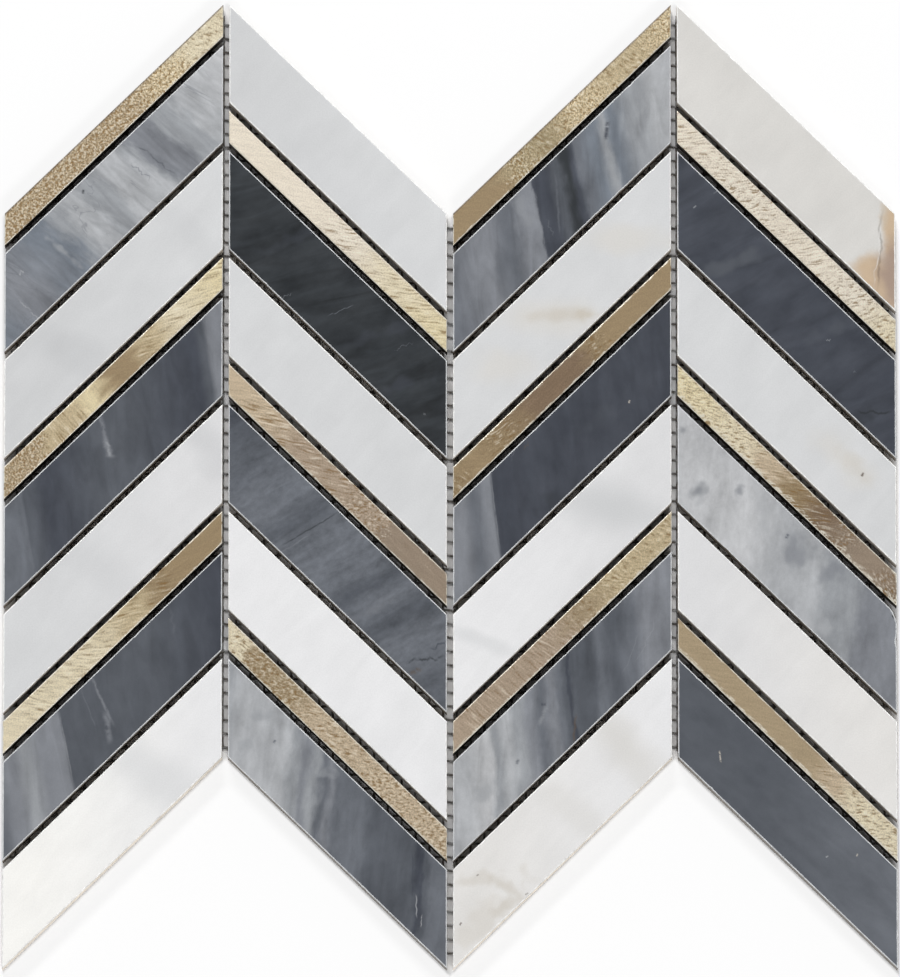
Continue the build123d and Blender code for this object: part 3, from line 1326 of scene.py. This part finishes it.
    def _with_veins(self, nodes: FinishNodes, colour: Socket, veins: Veins) -> Socket:
        """Draw scattered thin broken lines over the colour.

        Args:
            nodes: the material.
            colour: the colour so far.
            veins: the lines.

        Returns:
            The new colour's socket.
        """
        off_line = nodes.maths("SUBTRACT", self.noise_on(nodes, veins.lines, veins.angle), nodes.MIDDLE)
        line = nodes.band(nodes.maths("ABSOLUTE", off_line), veins.fineness, 0.0)
        broken = nodes.band(self.noise_on(nodes, veins.breaks, veins.angle), *self.VEIN_BREAKS)
        return nodes.blend(nodes.shares(line, broken, veins.strength), colour, veins.tone.linear)


@dataclass(kw_only=True)
class MetalStrip(SlantedChip):
    """One gold-toned strip with a rounded rim and a face worked in real relief.

    Attributes:
        finish: how its face is worked.
        rim: radius of the rounded rim, in metres.
        rim_steps: steps in which the rim turns.
    """

    STOP_STRAY, STRAY_SIZE = 0.06, (9, 3)  # how far the stops' borders stray, and over which lengths
    BEND_LENGTH, SPECK_SIZE = 5, 0.55  # of the strokes and the grain between them, in millimetres
    BROAD_SHARE, SLIM_SHARE, SLIM_SCALE = 0.75, 0.5, 1.9  # strokes of two sizes
    BROAD_LAYER, SLIM_LAYER, SEED_ROW = 3, 2, 3.7  # places in the noise
    STRAY = Noise((9, 3, 9), 0.7, detail=1)
    FINE = Noise((0.5, 0.5, 0.5), 3.1, detail=2)
    TORN = Noise((3, 0.9, 0.9), 21.7, detail=4)
    BRUSH = Noise((6, 0.3, 0.3), 9.9, detail=2)
    BARE = Noise((5, 2, 2), 17.3, detail=4)
    TONE_STRAY = 0.025
    # Bright rim patches: partly worn metal, partly a painted highlight.
    BARE_LEVELS, BARE_ROUGHNESS = (0.34, 0.52), 0.35
    # Relief shading painted into the colour (darker low, lighter high), with painted crease shade and painted
    # highlights.
    RELIEF_LEVELS, GRIT_SPREAD = (0.86, 1.56), 4.0
    CREASED_LEVELS, CREASED_SHARE = (0.42, 0.02), 0.72
    RAISED_LEVELS, RAISED_SHARE = (0.6, 0.96), 0.45
    WORN_LEVELS, WORN_SHARE = (0.3, 0.62), 0.85
    WEAR_RAGGED, WEAR_FULL = 0.6, 0.2  # shares of the wear's reach
    LINE_START, LINE_FULL, LINE_SHARE = 1.6, 0.6, 0.85  # shares of the reach of the bright edges, which are partly wear and partly a painted highlight
    BRUSH_DEPTH = 0.015

    finish: MetalFinish
    slot: str = "gold_metal"
    pitch: float = 0.22 * MM
    rim: float = 0.3 * MM
    rim_steps: int = 3

    def rim_profile(self) -> list[tuple[float, float]]:
        """A quarter round."""
        turns = [step / self.rim_steps * math.pi / 2 for step in range(self.rim_steps + 1)]
        return [(self.rim * (1 - math.sin(turn)), self.rim * (1 - math.cos(turn))) for turn in turns]

    def work_face(self, bm: bmesh.types.BMesh) -> None:
        """Press the texture into the face, and note its height for the material.

        Args:
            bm: the flat, gridded face.
        """
        layer = bm.verts.layers.float.new("relief")
        turn = Matrix.Rotation(-math.radians(self.outline.angle), 3, "Z")
        length = self.outline.length_way.length
        deepest = max(texture.value.depth for texture in Texture)
        for vert in bm.verts:
            place = (Vector((vert.co.x, vert.co.y, 0)) - self.outline.centre) / MM
            local = turn @ place
            stray_place = Vector((local.x / self.STRAY_SIZE[0], local.y / self.STRAY_SIZE[1], self.seed))
            stray = self.STOP_STRAY * noise.noise(stray_place)
            first, second, share = self.finish.between(local.x * MM / length + 0.5 + stray)
            relief = 0.0
            for stop, part in ((first, 1 - share), (second, share)):
                height = self.stroke_height(stop, place)
                vert[layer] += part * height
                relief += part * height * stop.texture.value.depth
            vert.co.z += (relief - deepest) * MM
        for face in bm.faces:
            face.smooth = True

    def stroke_height(self, stop: MetalStop, place: Vector) -> float:
        """Height of a stop's texture at a point.

        Args:
            stop: the stop.
            place: the point from the strip's middle, along X and Y, in millimetres.

        Returns:
            Height between 0 and 1.
        """
        strokes, shift = stop.texture.value, Vector((self.seed, self.SEED_ROW, 0))
        way = Matrix.Rotation(-math.radians(stop.angle), 3, "Z") @ place
        swayed = way.y + strokes.bend * noise.noise(place / self.BEND_LENGTH + shift)
        along, across = way.x / strokes.length, swayed / strokes.breadth
        broad = noise.noise(Vector((along, across, self.BROAD_LAYER)) + shift)
        slim = noise.noise(Vector((along, across, self.SLIM_LAYER)) * self.SLIM_SCALE + shift)
        speck = noise.noise(place / self.SPECK_SIZE + shift)
        stroke = self.BROAD_SHARE * broad + self.SLIM_SHARE * slim
        height = 0.5 + strokes.contrast * stroke + strokes.speckle * speck
        return min(max(height, 0.0), 1.0)

    def face_materials(self) -> tuple[bpy.types.Material, bpy.types.Material]:
        """Gold-toned metal that follows the strip, and the paler metal of its rim, partly worn and partly a
        painted highlight.

        Returns:
            Materials of the face and the rim.
        """
        face, rim = FinishNodes(f"{self.node}_face"), FinishNodes(f"{self.node}_rim")
        metallic = self.finish.METALLIC
        colour, rough = self._worked_metal(face, 0.0)
        face_material = face.finish(Base_Color=colour, Roughness=rough, Metallic=metallic)
        # The rim's bright patches: partly worn metal, partly a painted highlight.
        bare = rim.band(self.noise_on(rim, self.BARE, self.outline.angle), *self.BARE_LEVELS)
        colour, _ = self._worked_metal(rim, bare)
        return face_material, rim.finish(Base_Color=colour, Roughness=self.BARE_ROUGHNESS, Metallic=metallic)

    def _worked_metal(self, nodes: FinishNodes, bare: Value) -> tuple[Socket, Socket]:
        """Colour and roughness of the metal, with painted shade in the pits, painted highlights on the high
        places, and bright edges that are partly wear and partly a painted highlight.

        Args:
            nodes: the material, which also gets fine relief.
            bare: share of bright worn metal and painted highlight all over it.

        Returns:
            Sockets of the colour and the roughness.
        """
        outline, finish, half = self.outline, self.finish, self.outline.width / MM / 2
        along, across = nodes.split(nodes.place(outline.centre, outline.angle, (1, 1, 1)))
        place = nodes.maths("MULTIPLY_ADD", along, MM / outline.length_way.length, 0.5)
        place = nodes.centred(self.noise_on(nodes, self.STRAY, outline.angle), self.TONE_STRAY, place)
        colour = nodes.ramp(place, ((stop.place, stop.tone.linear) for stop in finish.stops))
        relief = nodes.add("ShaderNodeAttribute", attribute_name="relief").outputs["Fac"]
        fine = self.noise_on(nodes, self.FINE)
        grit = self._along_strip(nodes, place, (stop.texture.value.speckle for stop in finish.stops))
        spread = nodes.maths("MULTIPLY", grit, self.GRIT_SPREAD)
        # Painted relief shading: the colour is darker in the low places and lighter on the high ones.
        level = nodes.between(*self.RELIEF_LEVELS, relief)
        level = nodes.maths("MULTIPLY_ADD", nodes.maths("SUBTRACT", fine, nodes.MIDDLE), spread, level)
        colour = nodes.scaled(colour, level)
        # Painted shade in the creases: the low places blend towards dark brown.
        creased = nodes.maths("MULTIPLY", nodes.band(relief, *self.CREASED_LEVELS), self.CREASED_SHARE)
        colour = nodes.blend(creased, colour, CREASE.linear)
        # Painted highlight on the high places of the relief: they blend towards pale bright metal.
        raised = nodes.maths("MULTIPLY", nodes.band(relief, *self.RAISED_LEVELS), self.RAISED_SHARE)
        colour = nodes.blend(raised, colour, WORN_RIM.linear)
        # Bright metal over the rim: partly worn metal, partly a painted highlight.
        colour = nodes.blend(bare, colour, WORN_RIM.linear)
        # Bright edges along the long sides: partly wear, partly a painted highlight.
        torn = self.noise_on(nodes, self.TORN, outline.angle)
        for side, reach in ((1, finish.lower_wear), (-1, finish.upper_wear)):
            edge = nodes.maths("MULTIPLY_ADD", across, side, half)
            ragged = nodes.centred(torn, self.WEAR_RAGGED * reach, edge)
            worn = nodes.band(ragged, reach, self.WEAR_FULL * reach)
            worn = nodes.shares(worn, nodes.band(relief, *self.WORN_LEVELS), self.WORN_SHARE)
            colour = nodes.blend(worn, colour, WORN_RIM.linear)
        if finish.upper_line:
            line = nodes.band(across, half - self.LINE_START * finish.upper_line,
                              half - self.LINE_FULL * finish.upper_line)
            colour = nodes.blend(nodes.maths("MULTIPLY", line, self.LINE_SHARE), colour, UMBER.linear)
        brush = self.noise_on(nodes, self.BRUSH, finish.stops[0].angle)
        nodes.bump(nodes.maths("ADD", brush, fine), self.BRUSH_DEPTH)
        rough = self._along_strip(nodes, place, (stop.texture.value.rough for stop in finish.stops))
        return colour, rough

    def _along_strip(self, nodes: FinishNodes, place: Socket, values: Iterable[float]) -> Socket:
        """A value for each stop, smooth between them, at a place along the strip."""
        greys = ((value, value, value, 1.0) for value in values)
        return nodes.ramp(place, zip((stop.place for stop in self.finish.stops), greys))


@dataclass
class BackingMesh:
    """One layer of the glass-fibre mesh: the CAD strands with a rounded, fibrous, slightly uneven section.

    Attributes:
        node: the CAD node it stands for.
        lengthwise: unit direction of the strands.
        finish: material of the strands.
        slot: the record's material slot; not used.
        step: distance between the points along a strand, in metres.
        rounding: how far the strands' long edges are rounded, in metres.
        sway: how far the strands wander sideways, in metres.
        sway_length: length over which they wander, in metres.
    """

    CLOSE = 0.001 * MM  # points nearer than this are one
    FLAT = math.radians(1)  # faces that meet at less than this are one
    SHORT = 1.0 * MM  # edges up to this are a strand's ends
    STRAIGHT = 0.99  # least cosine between a long edge and its strand

    node: str
    lengthwise: Vector
    finish: bpy.types.Material
    slot: str = "backing_mesh"
    step: float = 2.3 * MM
    rounding: float = 0.09 * MM
    sway: float = 0.16 * MM
    sway_length: float = 7 * MM

    def build(self) -> bpy.types.Object:
        """Model the layer and put it in its place.

        Returns:
            The finished piece.
        """
        bm = bmesh.new()
        bm.from_mesh(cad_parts[self.node].data)
        bmesh.ops.remove_doubles(bm, verts=bm.verts, dist=self.CLOSE)
        bmesh.ops.dissolve_limit(bm, angle_limit=self.FLAT, verts=bm.verts, edges=bm.edges)
        bmesh.ops.bevel(bm, geom=self._long_edges(bm), offset=self.rounding, offset_type="OFFSET",
                        affect="EDGES", segments=1, profile=0.5, material=-1)
        lengths: dict[int, list[bmesh.types.BMEdge]] = {}
        for edge in self._long_edges(bm):
            lengths.setdefault(int(edge.calc_length() / self.step), []).append(edge)
        for cuts, edges in lengths.items():
            if cuts > 0:
                bmesh.ops.subdivide_edges(bm, edges=edges, cuts=cuts, use_grid_fill=True)
        bmesh.ops.dissolve_degenerate(bm, dist=self.CLOSE, edges=bm.edges)
        self._sway(bm)
        for face in bm.faces:
            face.smooth = True
            face.material_index = 0
        piece = piece_from(bm, f"{self.node}_yarn", (self.finish,))
        return seat(piece, self.node)

    def _long_edges(self, bm: bmesh.types.BMesh) -> list[bmesh.types.BMEdge]:
        """Edges that run along the strands.

        Args:
            bm: the layer.

        Returns:
            The edges.
        """
        found = []
        for edge in bm.edges:
            way = edge.verts[1].co - edge.verts[0].co
            if way.length > self.SHORT and abs(way.normalized().dot(self.lengthwise)) > self.STRAIGHT:
                found.append(edge)
        return found

    def _sway(self, bm: bmesh.types.BMesh) -> None:
        """Let the strands wander sideways a little.

        Args:
            bm: the layer.
        """
        sideways = Vector((self.lengthwise.y, self.lengthwise.x, 0))
        for vert in bm.verts:
            vert.co += sideways * self.sway * noise.noise(vert.co / self.sway_length)


@dataclass(frozen=True)
class StrandFinish:
    """Resin-coated glass fibre."""

    FIBRES = Noise((0.5, 0.5, 0.1), 1.0, detail=4, deep=True)
    RESIN_COAT = Noise((2.2, 2.2, 2.2), 5.0)
    DARK_FIBRE, PALE_FIBRE = 0.2, 0.7
    RESIN_LEVELS = (0.46, 0.58)
    FIBRE_DEPTH = 0.05

    name: str = "resin_coated_fibre"
    rough: float = 0.5

    def material(self) -> bpy.types.Material:
        """A satin material with fine fibres.

        Returns:
            The material.
        """
        nodes = FinishNodes(self.name)
        fibres = nodes.noise(self.FIBRES)
        tint = nodes.ramp(fibres, ((self.DARK_FIBRE, UMBER.linear), (self.PALE_FIBRE, STRAND_GREY.linear)))
        resin = nodes.band(nodes.noise(self.RESIN_COAT), *self.RESIN_LEVELS)
        nodes.bump(fibres, self.FIBRE_DEPTH)
        return nodes.finish(Base_Color=nodes.blend(resin, tint, RESIN.linear), Roughness=self.rough)


@dataclass(frozen=True)
class SoftBox:
    """A soft lamp that faces the sheet.

    Attributes:
        azimuth: direction in which it stands, in degrees from +X.
        elevation: its height above the sheet, in degrees.
        depth: its size from top to bottom, in metres.
        power: strength in watts.
    """

    azimuth: float
    elevation: float
    depth: float
    power: float

    @property
    def away(self) -> Vector:
        """Unit direction from the sheet to the lamp."""
        turn, rise = math.radians(self.azimuth), math.radians(self.elevation)
        return Vector((math.cos(turn) * math.cos(rise), math.sin(turn) * math.cos(rise), math.sin(rise)))


@dataclass
class Studio:
    """Floor, two soft lamps and a pale surround that is bright near the horizon and dim overhead.

    Attributes:
        floor_half: half the floor's side, in metres.
        floor_squares: squares along its side.
        floor_level: its height, in metres.
        floor_tone: its colour.
        floor_rough: its roughness.
        floor_glow: share of plain white in what the camera sees of it.
        glow_fade: how far from the sheet that share is reached, in millimetres.
        outline_chips: top and bottom chips of the first column, and top chip of the second.
        lamp_distance: from the sheet's middle, in metres.
        lamp_width: width of both lamps, in metres.
        top_lamp: the lamp at the sheet's upper edge.
        bottom_lamp: the lamp at its lower edge.
        horizon: colour of the surround up to horizon_rise.
        overhead: its colour from overhead_rise on.
        horizon_rise: share of the way up, from the horizon to straight above.
        overhead_rise: the same.
    """

    floor_half: float = 4.0
    floor_squares: int = 8
    floor_level: float = -0.05 * MM
    floor_tone: tuple[float, float, float, float] = (0.97, 0.97, 0.975, 1.0)
    floor_rough: float = 0.9
    floor_glow: float = 0.8
    glow_fade: float = 1.5
    outline_chips: tuple[str, str, str] = ("metal_strip_c1_r1", "white_marble_c1_r9", "white_marble_c2_r1")
    lamp_distance: float = 2.6
    lamp_width: float = 0.9
    top_lamp: SoftBox = SoftBox(azimuth=102.0, elevation=45.0, depth=0.28, power=45.2)
    bottom_lamp: SoftBox = SoftBox(azimuth=-77.0, elevation=55.0, depth=0.5, power=26.0)
    horizon: tuple[float, float, float, float] = (0.95, 0.95, 0.95, 1.0)
    overhead: tuple[float, float, float, float] = (0.06, 0.06, 0.061, 1.0)
    horizon_rise: float = 0.2
    overhead_rise: float = 0.62

    def build(self) -> None:
        """Make the floor, the lamps and the world."""
        self._floor()
        self._lamp("lamp_top", self.top_lamp)
        self._lamp("lamp_bottom", self.bottom_lamp)
        self._world()

    def _floor(self) -> None:
        """A wide plain sheet under the object."""
        bm = bmesh.new()
        bmesh.ops.create_grid(bm, x_segments=self.floor_squares, y_segments=self.floor_squares,
                              size=self.floor_half, matrix=Matrix.Translation((0, 0, self.floor_level)))
        floor = piece_from(bm, "floor", (self._floor_paper(),))

    def _floor_paper(self) -> bpy.types.Material:
        """White paper that keeps the sheet's shadow, and looks whiter to the camera and in reflections.

        Returns:
            The material.
        """
        nodes = FinishNodes("floor_paper")
        paper = nodes.finish(Base_Color=self.floor_tone, Roughness=self.floor_rough)
        path = nodes.add("ShaderNodeLightPath")
        seen = nodes.maths("MAXIMUM", path.outputs["Is Camera Ray"], path.outputs["Is Glossy Ray"])
        seen = nodes.maths("MAXIMUM", seen, path.outputs["Is Transmission Ray"])
        seen = nodes.maths("MULTIPLY", seen, self._beyond_sheet(nodes))
        glow = nodes.add("ShaderNodeEmission")
        mix = nodes.add("ShaderNodeMixShader")
        nodes.feed(mix.inputs["Fac"], nodes.maths("MULTIPLY", seen, self.floor_glow))
        nodes.feed(mix.inputs[1], nodes.shader.outputs["BSDF"])
        nodes.feed(mix.inputs[2], glow.outputs["Emission"])
        nodes.feed(nodes.output.inputs["Surface"], mix.outputs["Shader"])
        return paper

    def _beyond_sheet(self, nodes: FinishNodes) -> Socket:
        """1 on the floor outside the sheet's zigzag outline, and 0 under it.

        Args:
            nodes: the floor's material.

        Returns:
            The value's socket.
        """
        upper, lower, beside = (ChipOutline.of_node(node) for node in self.outline_chips)
        pitch = (beside.centre.x - upper.centre.x) / MM
        half_stack = (upper.corners[3].y - lower.corners[0].y) / 2 / MM
        slope = math.tan(math.radians(upper.angle))
        x, y = nodes.split(nodes.place(SHEET_MIDDLE, 0, (1, 1, 1)))
        off_crest = nodes.maths("PINGPONG", nodes.maths("ADD", x, pitch), pitch)
        middle_line = nodes.maths("MULTIPLY_ADD", off_crest, -slope, slope * pitch / 2)
        off_middle = nodes.maths("SUBTRACT", y, middle_line)
        beyond_rows = nodes.maths("SUBTRACT", nodes.maths("ABSOLUTE", off_middle), half_stack)
        beyond_sides = nodes.maths("SUBTRACT", nodes.maths("ABSOLUTE", x), CAD_BOX[1].x / MM)
        return nodes.band(nodes.maths("MAXIMUM", beyond_rows, beyond_sides), 0.0, self.glow_fade)

    def _lamp(self, name: str, box: SoftBox) -> None:
        """Hang a soft box.

        Args:
            name: the lamp's name.
            box: its place, size and power.
        """
        light = bpy.data.lights.new(name, "AREA")
        light.shape = "RECTANGLE"
        light.size = self.lamp_width
        light.size_y = box.depth
        light.energy = box.power
        lamp = bpy.data.objects.new(name, light)
        lamp.location = box.away * self.lamp_distance
        lamp.rotation_mode = "QUATERNION"
        lamp.rotation_quaternion = box.away.to_track_quat("Z", "Y")
        lamp.visible_camera = False
        bpy.context.scene.collection.objects.link(lamp)

    def _world(self) -> None:
        """A surround that is white near the horizon and dim overhead."""
        world = bpy.data.worlds.new("surround")
        world.use_nodes = True
        tree = world.node_tree
        tree.nodes.clear()
        direction = tree.nodes.new("ShaderNodeTexCoord")
        split = tree.nodes.new("ShaderNodeSeparateXYZ")
        ramp = tree.nodes.new("ShaderNodeValToRGB")
        background = tree.nodes.new("ShaderNodeBackground")
        output = tree.nodes.new("ShaderNodeOutputWorld")
        low, high = ramp.color_ramp.elements
        low.position, low.color = self.horizon_rise, self.horizon
        high.position, high.color = self.overhead_rise, self.overhead
        tree.links.new(direction.outputs["Generated"], split.inputs["Vector"])
        tree.links.new(split.outputs["Z"], ramp.inputs["Fac"])
        tree.links.new(ramp.outputs["Color"], background.inputs["Color"])
        tree.links.new(background.outputs["Background"], output.inputs["Surface"])
        bpy.context.scene.world = world


@dataclass(frozen=True)
class PhotoCamera:
    """The camera of the photograph, nearly straight above the sheet.

    Attributes:
        distance: from the middle of the picture on the sheet's face, in metres.
        tilt: lean of the line of sight from upright, towards the sheet's lower edge, in degrees.
        frame_long: length of the picture's long side on the sheet's face, in metres.
        offset: place of the picture's middle on the sheet, in metres.
        sight: how far the camera sees, in metres.
    """

    distance: float = 5.0
    tilt: float = 7.2
    frame_long: float = 326.2 * MM
    offset: tuple[float, float] = (0.0, -1.3 * MM)
    sight: float = 20.0

    def build(self) -> bpy.types.Object:
        """Make the camera and use it for the scene.

        Returns:
            The camera.
        """
        data = bpy.data.cameras.new("photo_camera")
        data.lens = data.sensor_width * self.distance / self.frame_long
        data.clip_end = self.sight
        lean = math.radians(self.tilt)
        camera = bpy.data.objects.new("photo_camera", data)
        aim = Vector((*self.offset, CAD_BOX[1].z))
        camera.location = aim + self.distance * Vector((0, -math.sin(lean), math.cos(lean)))
        camera.rotation_euler = (lean, 0, 0)
        bpy.context.scene.collection.objects.link(camera)
        bpy.context.scene.camera = camera
        return camera


@dataclass
class MosaicSheet:
    """The whole sheet: stone chips, metal strips and backing mesh."""

    pieces: list[bpy.types.Object] = field(default_factory=list)

    def build(self) -> None:
        """Build every piece in order."""
        grey_side = SawnSide("sawn_grey_side", SAWN_GREY).material()
        white_side = SawnSide("sawn_white_side", SAWN_WHITE).material()
        # Dark metal sides: partly the strips' own dark colour, partly painted shade of the joints.
        metal_side = SawnSide("dark_metal_side", DARK_METAL, rough=0.5, metal=0.8).material()
        # Pale arris materials: partly the ground stone's own tone, partly a painted highlight.
        grey_edge = GroundArris("ground_grey_arris", GROUND_GREY).material()
        white_edge = GroundArris("ground_white_arris", GROUND_WHITE).material()
        for node, finish in STONE_FINISHES.items():
            grey = node.startswith("grey")
            slot = "grey_marble" if grey else "white_marble"
            side, edge = (grey_side, grey_edge) if grey else (white_side, white_edge)
            chip = StoneChip(node=node, slot=slot, finish=finish, side=side, edge=edge)
            self.pieces.append(chip.build())
        for node, finish in METAL_FINISHES.items():
            self.pieces.append(MetalStrip(node=node, finish=finish, side=metal_side).build())
        fibre = StrandFinish().material()
        self.pieces.append(BackingMesh("mesh_warp_strands", Vector((0, 1, 0)), fibre).build())
        self.pieces.append(BackingMesh("mesh_weft_strands", Vector((1, 0, 0)), fibre).build())


def main() -> None:
    """Build the camera, the studio and the sheet."""
    logging.basicConfig(level=logging.INFO, format="%(name)s: %(message)s")
    bpy.context.scene.view_settings.view_transform = "Standard"
    PhotoCamera().build()
    Studio().build()
    sheet = MosaicSheet()
    sheet.build()
    log.info("%d pieces", len(sheet.pieces))


if __name__ == "__main__":
    main()
